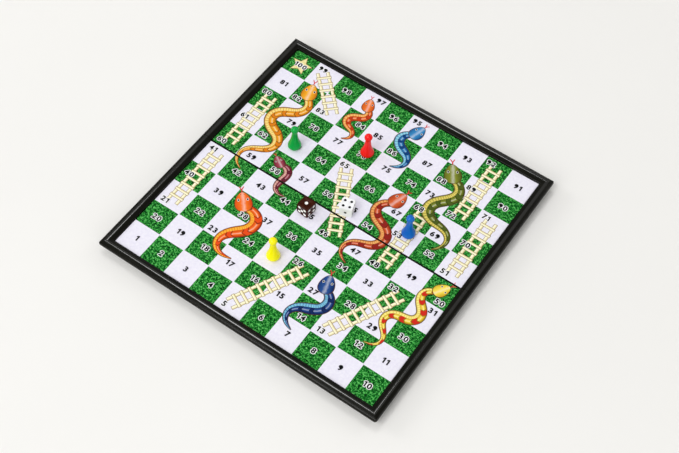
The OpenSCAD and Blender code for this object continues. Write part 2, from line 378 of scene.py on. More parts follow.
WOOD_EDGE_INK = flat_ink("wood_edge_ink", srgb(128, 104, 60), srgb(150, 124, 76))
EYE_INK = flat_ink("eye_ink", srgb(250, 248, 240), srgb(240, 238, 230))
TONGUE_INK = flat_ink("tongue_ink", srgb(200, 40, 50), srgb(220, 60, 66))
STAR_INK = flat_ink("star_ink", srgb(246, 236, 176), srgb(232, 214, 140))
WOOD_INK = wood_ink()


def paint(node, material):
    """Gives a carried-over node one material."""
    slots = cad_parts[node].data.materials
    slots.clear()
    slots.append(material)


# Mesh helpers

def new_piece(name, mesh, materials, body):
    """A finished mesh as a piece of the object that rides on a body."""
    for material in materials:
        mesh.materials.append(material)
    piece = bpy.data.objects.new(name, mesh)
    bpy.context.scene.collection.objects.link(piece)
    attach(piece, body)
    return piece


def mesh_from(solid, name):
    """Closes a bmesh and gives its shape as a new mesh."""
    mesh = bpy.data.meshes.new(name)
    solid.to_mesh(mesh)
    solid.free()
    return mesh


def smooth_by_angle(mesh, degrees):
    """Shades smooth all but the edges sharper than that."""
    mesh.polygons.foreach_set("use_smooth", [True] * len(mesh.polygons))
    mesh.set_sharp_from_angle(angle=math.radians(degrees))


def packed_solid(node):
    """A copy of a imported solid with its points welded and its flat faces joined."""
    solid = bmesh.new()
    solid.from_mesh(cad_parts[node].data)
    bmesh.ops.remove_doubles(solid, verts=solid.verts, dist=WELD)
    bmesh.ops.dissolve_limit(
        solid, angle_limit=FLAT_ANGLE, verts=solid.verts, edges=solid.edges
    )
    return solid


def round_edges(solid, edges, radius, steps):
    """Rounds the edges off and returns the faces that this makes."""
    made = bmesh.ops.bevel(
        solid, geom=edges, offset=radius, segments=steps, profile=0.5, affect="EDGES",
        clamp_overlap=True,
    )
    return made["faces"]


def split_large_faces(solid):
    """Cuts the faces with more than four corners into triangles."""
    large = [face for face in solid.faces if len(face.verts) > 4]
    bmesh.ops.triangulate(solid, faces=large)


# Case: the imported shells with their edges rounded

LIP_ROUND = 1.4 * MM
EDGE_ROUND = 0.5 * MM
CREST_ROUND = 1.2 * MM
# The lip's edge lies between the first two heights, and the crest's edges above the third
SKIRT_Z = FACE_Z - 1.9 * MM
LIP_Z = FACE_Z - 1.5 * MM
CREST_Z = FACE_Z + 2.5 * MM
# What lies this near to the fold stays sharp and dull
FOLD_ZONE = 0.3 * MM
RIM_STEPS = 8
CASE_SMOOTH = 15
# Places of the materials on a shell
SEAM, CREST = 1, 2


def rounded_shell(node, body, name):
    """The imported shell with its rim's edges and crest rounded."""
    shell = packed_solid(node)

    def edges_between(low, high):
        """Outward edges of the rim between two heights, apart from those at the fold."""
        chosen = []
        for edge in shell.edges:
            if not edge.is_manifold or not edge.is_convex:
                continue
            ends = [vert.co for vert in edge.verts]
            outward = max(abs(end.y) for end in ends)
            if outward < FOLD_Y + FOLD_ZONE or edge.calc_face_angle() < ROUND_ANGLE:
                continue
            if low <= min(end.z for end in ends) and max(end.z for end in ends) < high:
                chosen.append(edge)
        return chosen

    round_edges(shell, edges_between(SKIRT_Z, LIP_Z), LIP_ROUND, RIM_STEPS)
    round_edges(shell, edges_between(LIP_Z, CREST_Z), EDGE_ROUND, RIM_STEPS)
    for face in round_edges(shell, edges_between(CREST_Z, math.inf), CREST_ROUND, RIM_STEPS):
        face.material_index = CREST
    for face in shell.faces:
        if max(abs(vert.co.y) for vert in face.verts) < FOLD_Y + FOLD_ZONE:
            face.material_index = SEAM
    split_large_faces(shell)
    mesh = mesh_from(shell, name)
    smooth_by_angle(mesh, CASE_SMOOTH)
    piece = new_piece(name, mesh, [CASE, FOLD_CASE, CREST_CASE], body)
    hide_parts(node)


for half in ("near", "far"):
    rounded_shell(f"{half}_shell", f"{half}_half", f"{half}_case")
    paint(f"{half}_printed_sheet", SHEET)
    paint(f"{half}_steel_plate", STEEL_PLATE)
for side in ("left", "right"):
    paint(f"{side}_hinge_pin", STEEL_PIN)


# Print: flat meshes in squares, X across the board and Y up it, Z in ink layers

# Points this near to the fold, in squares, lie on it
FOLD_TOUCH = 1e-7
# Heights of the printed shapes, in layers above the sheet
RAIL_LAYER, RUNG_LAYER, FILL_LAP = 0.5, 1.5, 0.5
STAR_EDGE_LAYER, STAR_LAYER = 1, 2
TONGUE_LAYER, TONGUE_LAP = 2.2, 0.2
BODY_EDGE_LAYER, BODY_LAYER = 3, 4
HEAD_EDGE_LAYER, HEAD_LAYER = 5, 6
EYE_LAYER, PUPIL_LAYER = 7, 8
NUMBER_EDGE_LAYER, NUMBER_LAYER, FIGURE_LAP = 10, 11, 0.15


def print_on_board(name, flat, materials):
    """Cuts a flat mesh at the fold and lays each part on its half of the board."""
    for half, body, outward in (("near", "near_half", -1), ("far", "far_half", 1)):
        part = flat.copy()
        bmesh.ops.bisect_plane(
            part, geom=part.verts[:] + part.edges[:] + part.faces[:], dist=FOLD_TOUCH,
            plane_co=(0, HALF_ROWS, 0), plane_no=(0, 1, 0),
            clear_outer=outward < 0, clear_inner=outward > 0,
        )
        if part.faces:
            for vert in part.verts:
                vert.co = Vector((
                    vert.co.x * SQUARE - HALF_W,
                    (vert.co.y - HALF_ROWS) * SQUARE + outward * FOLD_Y,
                    FACE_Z + vert.co.z * LAYER,
                ))
            for face in part.faces:
                face.normal_update()
                if face.normal.z < 0:
                    face.normal_flip()
            mesh = bpy.data.meshes.new(f"{half}_{name}")
            part.to_mesh(mesh)
            piece = new_piece(f"{half}_{name}", mesh, materials, body)
            ink = piece.modifiers.new("ink", "SOLIDIFY")
            ink.thickness = INK
            ink.offset = -1.0
        part.free()
    flat.free()


def strip(flat, route_map, points, left, right, layer, material):
    """A ribbon between two rows of points, with the distance along it and across it in its map."""
    rows = []
    for one, other in zip(left, right):
        rows.append((
            flat.verts.new((one.x, one.y, layer)),
            flat.verts.new((other.x, other.y, layer)),
        ))
    distance = 0.0
    for place in range(len(rows) - 1):
        step = (points[place + 1] - points[place]).length
        corners = (rows[place][0], rows[place][1], rows[place + 1][1], rows[place + 1][0])
        spots = ((distance, 0.0), (distance, 1.0), (distance + step, 1.0), (distance + step, 0.0))
        face = flat.faces.new(corners)
        face.material_index = material
        for loop, spot in zip(face.loops, spots):
            loop[route_map].uv = spot
        distance += step


# Across the skin's map, the middle and half the reach of the stretch that a head shows
HEAD_MAP_MIDDLE = 0.34
HEAD_MAP_REACH = 0.24


def blob(flat, route_map, centre, radius_along, radius_across, heading, layer, material,
         sides, snout=0.0):
    """A filled oval whose long axis lies along heading, narrower in front by snout."""
    aside = Vector((-heading.y, heading.x))
    ring = []
    shares = []
    for side in range(sides):
        turn = 2 * math.pi * side / sides
        wide = math.sin(turn) * (1 - snout * math.cos(turn))
        spot = centre + heading * radius_along * math.cos(turn) + aside * radius_across * wide
        ring.append(flat.verts.new((spot.x, spot.y, layer)))
        shares.append(wide)
    face = flat.faces.new(ring)
    face.material_index = material
    for loop, share in zip(face.loops, shares):
        loop[route_map].uv = (0.0, HEAD_MAP_MIDDLE + HEAD_MAP_REACH * share)


def square_centre(number):
    """Middle of a numbered square, in squares: the rows run left and right in turn."""
    row, step = divmod(number - 1, COLUMNS)
    column = step if row % 2 == 0 else COLUMNS - 1 - step
    return Vector((column + 0.5, row + 0.5))


# Where the snakes and ladders lie: middle points with half widths, so that numbers keep clear
covered = []

# Snakes, in squares
SNAKE_STEPS = 140
OUTLINE = 0.02
# How far a head lies from its square's middle, away from the tail, and a tail's end towards the head
HEAD_SHIFT = 0.08
LAST_ROW_SHIFT = -0.16
TAIL_SHIFT = 0.16
# How far the first bend has grown at the head, and the share of the length in which it grows fully
BEND_START = 0.25
BEND_SHARE = 0.1
# Shares of the length in which the neck widens and the tail thins
NECK_SHARE = 0.3
THIN_SHARE = 0.5
# The neck's width as a share of the body's, and how bluntly the tail ends
NECK_WIDTH = 0.62
TAIL_POWER = 0.85
# Head, as shares of the snake's width
HEAD_LONG = 0.92
HEAD_WIDE = 0.66
HEAD_AHEAD = 0.2
TONGUE_LENGTH = 0.55
TONGUE_SPREAD = 0.18
TONGUE_THICK = 0.05
TONGUE_CLEAR = 0.1
EYE_LONG, EYE_WIDE = 0.13, 0.1
PUPIL_LONG, PUPIL_WIDE = 0.1, 0.07
NOSTRIL_LONG, NOSTRIL_WIDE = 0.035, 0.025
# Places on the head, as shares of its half length and half width, and where the tongue forks
SNOUT = 0.28
HEAD_CLEAR = 0.85
TONGUE_ROOT = 0.85
FORK_SHARE = 0.55
EYE_AHEAD, EYE_ASIDE = 0.22, 0.56
NOSTRIL_AHEAD, NOSTRIL_ASIDE = 0.78, 0.2
# Corners of the ovals
HEAD_SIDES, EYE_SIDES, PUPIL_SIDES, NOSTRIL_SIDES = 36, 18, 16, 10
# Places of the materials on a picture, and on a snake's head
FILL, EDGE, EYE, PUPIL, TONGUE = range(5)


def ease(share):
    """A smooth rise from 0 to 1."""
    held = min(max(share, 0.0), 1.0)
    return held * held * (3 - 2 * held)


def snake_line(head, tail, waves, turn):
    """Middle line of a snake from head to tail, in even round bends of up to turn to each side."""
    start, end = square_centre(head), square_centre(tail)
    forward = (end - start).normalized()
    # A head in the last row draws back, so that its tongue stays on the sheet
    start = start - forward * (LAST_ROW_SHIFT if start.y > ROWS - 1 else HEAD_SHIFT)
    end = end - forward * TAIL_SHIFT
    bends = [Vector((0.0, 0.0))]
    for step in range(SNAKE_STEPS):
        share = (step + 0.5) / SNAKE_STEPS
        bend = turn * ease(share / BEND_SHARE + BEND_START)
        heading = bend * math.cos(2 * math.pi * waves * share)
        bends.append(bends[-1] + Vector((math.cos(heading), math.sin(heading))))
    reach = bends[-1]
    way = end - start
    size = way.length / reach.length
    spin = Matrix.Rotation(math.atan2(way.y, way.x) - math.atan2(reach.y, reach.x), 2)
    return [start + spin @ (bend * size) for bend in bends]


def snake(name, head, tail, waves, turn, width, skin):
    """A printed snake of the given width from its head's square to its tail's."""
    points = snake_line(head, tail, waves, turn)
    count = len(points)
    headings = []
    for place in range(count):
        before, after = points[max(place - 1, 0)], points[min(place + 1, count - 1)]
        headings.append((after - before).normalized())
    asides = [Vector((-heading.y, heading.x)) for heading in headings]
    widths = []
    for place in range(count):
        share = place / (count - 1)
        neck = NECK_WIDTH + (1 - NECK_WIDTH) * ease(share / NECK_SHARE)
        taper = min(1.0, (1.0 - share) / THIN_SHARE) ** TAIL_POWER
        widths.append(width / 2 * neck * taper)
    covered.extend(zip(points, widths))
    flat = bmesh.new()
    route_map = flat.loops.layers.uv.new("route")

    for extra, layer, material in ((OUTLINE, BODY_EDGE_LAYER, EDGE), (0.0, BODY_LAYER, FILL)):
        out = [aside * (half + extra) for aside, half in zip(asides, widths)]
        left = [point + shift for point, shift in zip(points, out)]
        right = [point - shift for point, shift in zip(points, out)]
        strip(flat, route_map, points, left, right, layer, material)

    # Head seen from above: a blunt oval that narrows to the snout, two eyes and a forked tongue
    look = -headings[0]
    side = Vector((-look.y, look.x))
    long_half, wide_half = width * HEAD_LONG, width * HEAD_WIDE
    middle = points[0] + look * width * HEAD_AHEAD
    covered.append((middle, long_half * HEAD_CLEAR))
    root = middle + look * long_half * TONGUE_ROOT
    tip = middle + look * (long_half + width * TONGUE_LENGTH)
    covered.append((tip, width * TONGUE_CLEAR))
    # The tongue's stem and its two prongs lie one over the other
    thick = side * width * TONGUE_THICK
    fork = root + (tip - root) * FORK_SHARE
    spread = side * width * TONGUE_SPREAD
    for lap, ends in enumerate(((root, fork), (fork, tip - spread), (fork, tip + spread))):
        left, right = [spot + thick for spot in ends], [spot - thick for spot in ends]
        strip(flat, route_map, ends, left, right, TONGUE_LAYER + TONGUE_LAP * lap, TONGUE)

    def oval(centre, half_long, half_wide, layer, material, sides, snout=0.0):
        blob(
            flat, route_map, centre, half_long, half_wide, look, layer, material, sides, snout
        )

    oval(
        middle, long_half + OUTLINE, wide_half + OUTLINE, HEAD_EDGE_LAYER, EDGE, HEAD_SIDES, SNOUT
    )
    oval(middle, long_half, wide_half, HEAD_LAYER, FILL, HEAD_SIDES, SNOUT)
    for flip in (-1, 1):
        aside = side * flip * wide_half
        eye = middle + look * long_half * EYE_AHEAD + aside * EYE_ASIDE
        nostril = middle + look * long_half * NOSTRIL_AHEAD + aside * NOSTRIL_ASIDE
        oval(eye, width * EYE_LONG, width * EYE_WIDE, EYE_LAYER, EYE, EYE_SIDES)
        oval(eye, width * PUPIL_LONG, width * PUPIL_WIDE, PUPIL_LAYER, PUPIL, PUPIL_SIDES)
        oval(
            nostril, width * NOSTRIL_LONG, width * NOSTRIL_WIDE, EYE_LAYER, PUPIL, NOSTRIL_SIDES
        )
    print_on_board(name, flat, [skin, OUTLINE_INK, EYE_INK, NUMBER_INK, TONGUE_INK])


# Name, head square, tail square, waves, sharpest turn to a side, width, and the skin
SNAKES = (
    ("orange_snake", 97, 77, 1.5, 1.15, 0.31, snake_ink(
        "orange_skin", srgb(240, 132, 50), srgb(204, 84, 30), srgb(250, 206, 120),
        srgb(196, 66, 26), 0.3, 0.5)),
    ("sky_snake", 95, 75, 1.0, -1.15, 0.35, snake_ink(
        "sky_skin", srgb(66, 150, 204), srgb(22, 88, 146), srgb(160, 226, 240),
        srgb(18, 70, 130), 0.3, 0.44)),
    ("olive_snake", 88, 52, 1.5, 1.1, 0.42, snake_ink(
        "olive_skin", srgb(142, 150, 50), srgb(92, 104, 34), srgb(242, 220, 112),
        srgb(84, 100, 34), 0.36, 0.5)),
    ("amber_snake", 82, 42, 2.0, 1.1, 0.4, snake_ink(
        "amber_skin", srgb(246, 184, 46), srgb(206, 130, 24), srgb(250, 236, 150),
        srgb(222, 134, 28), 0.44, 0.4)),
    ("brick_snake", 67, 34, 1.5, -1.2, 0.38, snake_ink(
        "brick_skin", srgb(222, 108, 56), srgb(170, 62, 32), srgb(246, 190, 110),
        srgb(150, 38, 30), 0.44, 0.5)),
    ("plum_snake", 58, 44, 1.0, 1.0, 0.27, snake_ink(
        "plum_skin", srgb(170, 72, 90), srgb(112, 38, 56), srgb(240, 190, 176),
        srgb(110, 36, 56), 0.34, 0.4)),
    ("flame_snake", 38, 17, 1.0, 1.3, 0.42, snake_ink(
        "flame_skin", srgb(246, 128, 36), srgb(214, 74, 22), srgb(252, 200, 66),
        srgb(232, 84, 28), 0.56, 0.4)),
    ("ringed_snake", 50, 12, 2.0, -1.1, 0.32, snake_ink(
        "ringed_skin", srgb(248, 226, 88), srgb(208, 172, 44), srgb(252, 240, 150),
        srgb(208, 44, 32), 0.38, 0.54)),
    ("navy_snake", 27, 7, 1.0, 1.2, 0.38, snake_ink(
        "navy_skin", srgb(44, 88, 156), srgb(22, 48, 104), srgb(140, 214, 240),
        srgb(18, 44, 100), 0.36, 0.36)),
)
for entry in SNAKES:
    snake(*entry)


# Ladders, in squares
LADDER_HALF_W = 0.18
LADDER_OUTLINE = 0.014
RAIL_W = 0.1
RUNG_W = 0.085
RUNG_PITCH = 0.28
RUNG_OVERHANG = 0.075
RAIL_OVERHANG = 0.24
# Foot square and top square
LADDERS = (
    (5, 26), (13, 32), (21, 41), (46, 65), (48, 68), (51, 71), (60, 80), (72, 92), (83, 99),
)


def bar(flat, route_map, start, end, width, layer):
    """A plank between two points over its own dark outline."""
    forward = (end - start).normalized()
    aside = Vector((-forward.y, forward.x))
    for extra, level, material in ((LADDER_OUTLINE, layer, EDGE), (0.0, layer + FILL_LAP, FILL)):
        points = [start - forward * extra, end + forward * extra]
        half = aside * (width / 2 + extra)
        strip(
            flat, route_map, points, [point + half for point in points],
            [point - half for point in points], level, material,
        )


def ladders():
    """All ladders: two rails that stand past the outermost rungs, and even rungs over them."""
    flat = bmesh.new()
    route_map = flat.loops.layers.uv.new("route")
    for foot, top in LADDERS:
        start, end = square_centre(foot), square_centre(top)
        forward = (end - start).normalized()
        aside = Vector((-forward.y, forward.x))
        length = (end - start).length
        count = round(length / RUNG_PITCH)
        for rail in (-1, 1):
            shift = aside * rail * LADDER_HALF_W
            bar(
                flat, route_map, start + shift - forward * RAIL_OVERHANG,
                end + shift + forward * RAIL_OVERHANG, RAIL_W, RAIL_LAYER,
            )
        for rung in range(count + 1):
            middle = start + forward * length * rung / count
            reach = aside * (LADDER_HALF_W + RUNG_OVERHANG)
            bar(flat, route_map, middle - reach, middle + reach, RUNG_W, RUNG_LAYER)
            covered.append((middle, LADDER_HALF_W + RAIL_W / 2))
    print_on_board("ladders", flat, [WOOD_INK, WOOD_EDGE_INK])


ladders()


# Star, in squares
STAR_POINTS = 5
STAR_OUTER_R = 0.4
STAR_INNER_R = 0.18
STAR_OUTLINE = 0.025


def star():
    """A plain five-pointed star behind the last number."""
    flat = bmesh.new()
    centre = square_centre(COLUMNS * ROWS)
    shapes = ((STAR_OUTLINE, STAR_EDGE_LAYER, EDGE), (0.0, STAR_LAYER, FILL))
    for extra, layer, material in shapes:
        ring = []
        for point in range(2 * STAR_POINTS):
            reach = (STAR_OUTER_R if point % 2 == 0 else STAR_INNER_R) + extra
            turn = math.pi / 2 + math.pi * point / STAR_POINTS
            spot = centre + Vector((math.cos(turn), math.sin(turn))) * reach
            ring.append(flat.verts.new((spot.x, spot.y, layer)))
        face = flat.faces.new(ring)
        face.material_index = material
    print_on_board("star", flat, [STAR_INK, WOOD_EDGE_INK])


star()


# Numbers 1 to 100 in plain bold figures: their height in squares, and how far they are widened
NUMBER_H = 0.26
NUMBER_STRETCH = 1.1
CORNER_STEPS = 4
FIGURE_FLAT_ANGLE = math.radians(4)
# In units of the figures' own size
NUMBER_BOLD = 0.038
HALO_W = 0.08
FIGURE_MIDDLE = 0.35
FIGURE_STEP = 0.64
ONE_STEP = 0.5
FIGURE_WELD = 1e-5
ONE_OUTLINE = (
    (0.03, 0.0), (0.12, 0.0), (0.12, 0.7), (0.05, 0.7), (-0.12, 0.58), (-0.12, 0.49), (0.03, 0.58),
)


def figure_curve(figure):
    """Outline of one figure as a filled flat curve; the one is a plain bar with a flag."""
    if figure == "1":
        curve = bpy.data.curves.new("figure", "CURVE")
        curve.dimensions = "2D"
        line = curve.splines.new("POLY")
        line.points.add(len(ONE_OUTLINE) - 1)
        for point, (x, y) in zip(line.points, ONE_OUTLINE):
            point.co = (x, y, 0, 1)
        line.use_cyclic_u = True
    else:
        curve = bpy.data.curves.new("figure", "FONT")
        curve.body = figure
        curve.align_x = "CENTER"
        curve.resolution_u = 4
    curve.fill_mode = "BOTH"
    return curve


def figure_mesh(figure, weight):
    """Flat mesh of one figure, grown by weight on all sides with round corners."""
    curve = figure_curve(figure)
    holder = bpy.data.objects.new("figure", curve)
    bpy.context.scene.collection.objects.link(holder)
    bpy.context.view_layer.update()
    seen = holder.evaluated_get(bpy.context.evaluated_depsgraph_get())
    thin = bmesh.new()
    thin.from_mesh(seen.to_mesh())
    bpy.data.objects.remove(holder)
    bpy.data.curves.remove(curve)
    thin.verts.ensure_lookup_table()
    spots = [vert.co.xy for vert in thin.verts]
    areas = [[vert.index for vert in face.verts] for face in thin.faces]
    for edge in thin.edges:
        if not edge.is_boundary:
            continue
        one, other = (vert.co.xy for vert in edge.verts)
        lie = math.atan2(other.y - one.y, other.x - one.x)
        areas.append(list(range(len(spots), len(spots) + 2 * (CORNER_STEPS + 1))))
        for centre, first in ((other, lie - math.pi / 2), (one, lie + math.pi / 2)):
            for step in range(CORNER_STEPS + 1):
                turn = first + math.pi * step / CORNER_STEPS
                spots.append(centre + Vector((math.cos(turn), math.sin(turn))) * weight)
    thin.free()
    # The union of all areas: of what comes back, the points, the faces and each face's sources
    joined, _, faces, _, _, origins = delaunay_2d_cdt(spots, [], areas, 1, FIGURE_WELD)
    grown = bmesh.new()
    verts = [grown.verts.new((spot.x, spot.y, 0.0)) for spot in joined]
    for area, sources in zip(faces, origins):
        if sources:
            grown.faces.new([verts[index] for index in area])
    loose = [vert for vert in grown.verts if not vert.link_faces]
    bmesh.ops.delete(grown, geom=loose, context="VERTS")
    grown.normal_update()
    bmesh.ops.dissolve_limit(
        grown, angle_limit=FIGURE_FLAT_ANGLE, verts=grown.verts, edges=grown.edges
    )
    split_large_faces(grown)
    return mesh_from(grown, "figure")


# Places for a number in its square, the middle first, and how far a picture should keep from it
NUMBER_SPOTS = (
    (0.0, -0.02), (0.0, -0.28), (-0.24, -0.3), (0.24, -0.3), (-0.25, 0.0), (0.25, 0.0),
    (-0.24, 0.3), (0.24, 0.3),
)
NUMBER_CLEAR = 0.16


def clearance(spot):
    """Distance from a spot to the nearest picture."""
    return min((spot - point).length - half for point, half in covered)


def number_spot(number):
    """The first place in the square that keeps clear of the pictures, or the clearest one."""
    centre = square_centre(number)
    spots = [centre + Vector(shift) for shift in NUMBER_SPOTS]
    for spot in spots:
        if clearance(spot) > NUMBER_CLEAR:
            return spot
    return max(spots, key=clearance)


def numbers(name, weight, layer, material, wanted):
    """The wanted numbers, each in its own square, with strokes grown by weight."""
    figures = {figure: figure_mesh(figure, weight) for figure in "0123456789"}
    flat = bmesh.new()
    for number in range(1, COLUMNS * ROWS + 1):
        spot = number_spot(number)
        if not wanted(number, spot):
            continue
        text = str(number)
        steps = [ONE_STEP if figure == "1" else FIGURE_STEP for figure in text]
        way = -sum(steps) / 2
        for place, (figure, step) in enumerate(zip(text, steps)):
            mesh = figures[figure].copy()
            mesh.transform(
                Matrix.Translation((spot.x, spot.y, layer + FIGURE_LAP * (place % 2)))
                @ Matrix.Diagonal((NUMBER_H * NUMBER_STRETCH, NUMBER_H, 1, 1))
                @ Matrix.Translation((way + step / 2, -FIGURE_MIDDLE, 0))
            )
            flat.from_mesh(mesh)
            bpy.data.meshes.remove(mesh)
            way += step
    print_on_board(name, flat, [material])


def needs_edge(number, spot):
    """White edges go round the numbers on green squares and those that touch a picture."""
    column, row = (int(part) for part in square_centre(number))
    return (column + row) % 2 == 1 or clearance(spot) < NUMBER_CLEAR


numbers("number_edges", NUMBER_BOLD + HALO_W, NUMBER_EDGE_LAYER, HALO_INK, needs_edge)
numbers("numbers", NUMBER_BOLD, NUMBER_LAYER, NUMBER_INK, lambda number, spot: True)


# Pawns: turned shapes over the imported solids

PAWN_HEAD_R = 3.1 * MM
PAWN_NECK_R = 2.1 * MM
PAWN_NECK_GAP = 0.2 * MM
PAWN_BELLY_SWELL = 0.1 * MM
PAWN_FOOT_ROUND = 2.0 * MM
POCKET_R = 3.05 * MM
POCKET_H = 1.8 * MM
# The flank's two handles: heights as shares of the pawn's, and the upper one's share of the neck
SWELL_SHARE = 0.21
DRAW_SHARE = 0.28
DRAW_WIDTH = 1.2
# The head's outline starts this many radians above the neck
HEAD_START = 0.1
FOOT_STEPS, FLANK_POINTS, HEAD_STEPS = 8, 28, 24
TURNED_SIDES = 64
TURNED_SMOOTH = 40


def pawn_outline(low, high):
    """Half outline of a pawn from its foot's middle to the top of its head, as (radius, height)."""
    height = high[2] - low[2]
    belly_r = (high[0] - low[0]) / 2 + PAWN_BELLY_SWELL
    foot_r = belly_r - PAWN_FOOT_ROUND
    head_z = height - PAWN_HEAD_R
    neck_z = head_z - math.sqrt(PAWN_HEAD_R ** 2 - PAWN_NECK_R ** 2) - PAWN_NECK_GAP
    outline = [(0.0, POCKET_H), (POCKET_R, POCKET_H), (POCKET_R, 0.0), (foot_r, 0.0)]
    for step in range(1, FOOT_STEPS):
        turn = -math.pi / 2 + step / FOOT_STEPS * math.pi / 2
        outline.append((
            foot_r + PAWN_FOOT_ROUND * math.cos(turn),
            PAWN_FOOT_ROUND + PAWN_FOOT_ROUND * math.sin(turn),
        ))
    # The flank swells low down and draws in to a slim neck
    flank = interpolate_bezier(
        Vector((belly_r, PAWN_FOOT_ROUND, 0)), Vector((belly_r, height * SWELL_SHARE, 0)),
        Vector((PAWN_NECK_R * DRAW_WIDTH, height * DRAW_SHARE, 0)),
        Vector((PAWN_NECK_R, neck_z, 0)), FLANK_POINTS,
    )
    outline.extend((point.x, point.y) for point in flank)
    first = math.atan2(neck_z - head_z, PAWN_NECK_R) + HEAD_START
    for step in range(HEAD_STEPS):
        turn = first + (math.pi / 2 - first) * step / HEAD_STEPS
        outline.append((PAWN_HEAD_R * math.cos(turn), head_z + PAWN_HEAD_R * math.sin(turn)))
    outline.append((0.0, height))
    return outline


def turned(name, outline, centre, base_z):
    """Mesh of a shape of revolution about a vertical line."""
    solid = bmesh.new()
    rings = []
    for radius, height in outline:
        if radius == 0.0:
            rings.append([solid.verts.new((centre[0], centre[1], base_z + height))])
            continue
        ring = []
        for side in range(TURNED_SIDES):
            turn = 2 * math.pi * side / TURNED_SIDES
            ring.append(solid.verts.new((
                centre[0] + radius * math.cos(turn),
                centre[1] + radius * math.sin(turn),
                base_z + height,
            )))
        rings.append(ring)
    for lower, upper in zip(rings, rings[1:]):
        for side in range(TURNED_SIDES):
            after = (side + 1) % TURNED_SIDES
            if len(lower) == 1:
                solid.faces.new((lower[0], upper[side], upper[after]))
            elif len(upper) == 1:
                solid.faces.new((lower[side], lower[after], upper[0]))
            else:
                solid.faces.new((lower[side], lower[after], upper[after], upper[side]))
    bmesh.ops.recalc_face_normals(solid, faces=solid.faces)
    mesh = mesh_from(solid, name)
    smooth_by_angle(mesh, TURNED_SMOOTH)
    return mesh


# Colour and the deeper tone in its unevenness
PAWN_COLOURS = {
    "green": (srgb(0, 166, 68), srgb(0, 154, 60)),
    "red": (srgb(246, 16, 14), srgb(236, 8, 8)),
    "yellow": (srgb(255, 248, 2), srgb(255, 240, 0)),
    "blue": (srgb(4, 104, 200), srgb(0, 92, 188)),
}
for tint, (shade, deep) in PAWN_COLOURS.items():
    node = f"{tint}_pawn"
    low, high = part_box(node)
    middle = ((low[0] + high[0]) / 2, (low[1] + high[1]) / 2)
    name = f"{tint}_turned_pawn"
    made = new_piece(
        name, turned(name, pawn_outline(low, high), middle, low[2]),
        [turned_plastic(f"{tint}_plastic", shade, deep)], f"{tint}_pawn_body",
    )
    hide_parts(node)
    paint(f"{tint}_pawn_magnet", FERRITE)


# Dice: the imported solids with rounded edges, and paint in their pips

DIE_EDGE = 10 * MM
DIE_ROUND = 0.4 * MM
DIE_ROUND_STEPS = 4
DIE_SMOOTH = 32
# An edge is an outer one if its ends lie at least this share of the half diagonal of a face away
OUTER_SHARE = 0.995
PIP_R = 1.0 * MM
PIP_DEPTH = 0.4 * MM
PIP_BALL_R = (PIP_R ** 2 + PIP_DEPTH ** 2) / (2 * PIP_DEPTH)
PIP_OFFSET = DIE_EDGE / 4
PIP_SIDES, PIP_RINGS = 24, 6
PAINT = 0.02 * MM
# Where the pips of each value lie, in steps of the offset
PIP_STEPS = {
    1: ((0, 0),),
    2: ((-1, 1), (1, -1)),
    3: ((-1, 1), (0, 0), (1, -1)),
    4: ((-1, -1), (-1, 1), (1, -1), (1, 1)),
    5: ((-1, -1), (-1, 1), (0, 0), (1, -1), (1, 1)),
    6: ((-1, -1), (-1, 0), (-1, 1), (1, -1), (1, 0), (1, 1)),
}
# Turns that carry the top face to top, bottom, front, back, right and left
FACE_TURNS = ((0, 0, 0), (180, 0, 0), (90, 0, 0), (-90, 0, 0), (0, 90, 0), (0, -90, 0))


def rounded_die(node, name, body, material):
    """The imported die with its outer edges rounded; its pips keep their crisp rims."""
    low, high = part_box(node)
    middle = (Vector(low) + Vector(high)) / 2
    solid = packed_solid(node)
    least = DIE_EDGE / 2 * math.sqrt(2) * OUTER_SHARE
    outer = [
        edge for edge in solid.edges
        if edge.is_manifold and edge.is_convex
        and min((vert.co - middle).length for vert in edge.verts) > least
        and edge.calc_face_angle() > ROUND_ANGLE
    ]
    round_edges(solid, outer, DIE_ROUND, DIE_ROUND_STEPS)
    split_large_faces(solid)
    mesh = mesh_from(solid, name)
    smooth_by_angle(mesh, DIE_SMOOTH)
    piece = new_piece(name, mesh, [material], body)
    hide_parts(node)
    return middle


def pip_paint(name, body, middle, turn, values, spill, material):
    """Thin cups of paint in the pips of all six faces, spilt a little over their rims."""
    cups = bmesh.new()
    radii = [PIP_R * ring / PIP_RINGS for ring in range(1, PIP_RINGS + 1)] + [PIP_R + spill]
    stand = Matrix.Translation(middle) @ Euler((0, 0, math.radians(turn))).to_matrix().to_4x4()
    for value, angles in zip(values, FACE_TURNS):
        face = stand @ Euler([math.radians(angle) for angle in angles]).to_matrix().to_4x4()
        for across, up in PIP_STEPS[value]:
            spot = Vector((across * PIP_OFFSET, up * PIP_OFFSET, DIE_EDGE / 2))
            centre = cups.verts.new(face @ (spot - Vector((0, 0, PIP_DEPTH - PAINT))))
            before = None
            for radius in radii:
                held = min(radius, PIP_R)
                depth = PIP_BALL_R - PIP_DEPTH - math.sqrt(PIP_BALL_R ** 2 - held ** 2) + PAINT
                loop = []
                for side in range(PIP_SIDES):
                    angle = 2 * math.pi * side / PIP_SIDES
                    offset = Vector((radius * math.cos(angle), radius * math.sin(angle), depth))
                    loop.append(cups.verts.new(face @ (spot + offset)))
                for side in range(PIP_SIDES):
                    after = (side + 1) % PIP_SIDES
                    if before is None:
                        cups.faces.new((centre, loop[side], loop[after]))
                    else:
                        cups.faces.new((before[side], loop[side], loop[after], before[after]))
                before = loop
    bmesh.ops.recalc_face_normals(cups, faces=cups.faces)
    mesh = mesh_from(cups, name)
    mesh.polygons.foreach_set("use_smooth", [True] * len(mesh.polygons))
    piece = new_piece(name, mesh, [material], body)
    layer = piece.modifiers.new("paint", "SOLIDIFY")
    layer.thickness = PAINT / 2
    layer.offset = -1.0


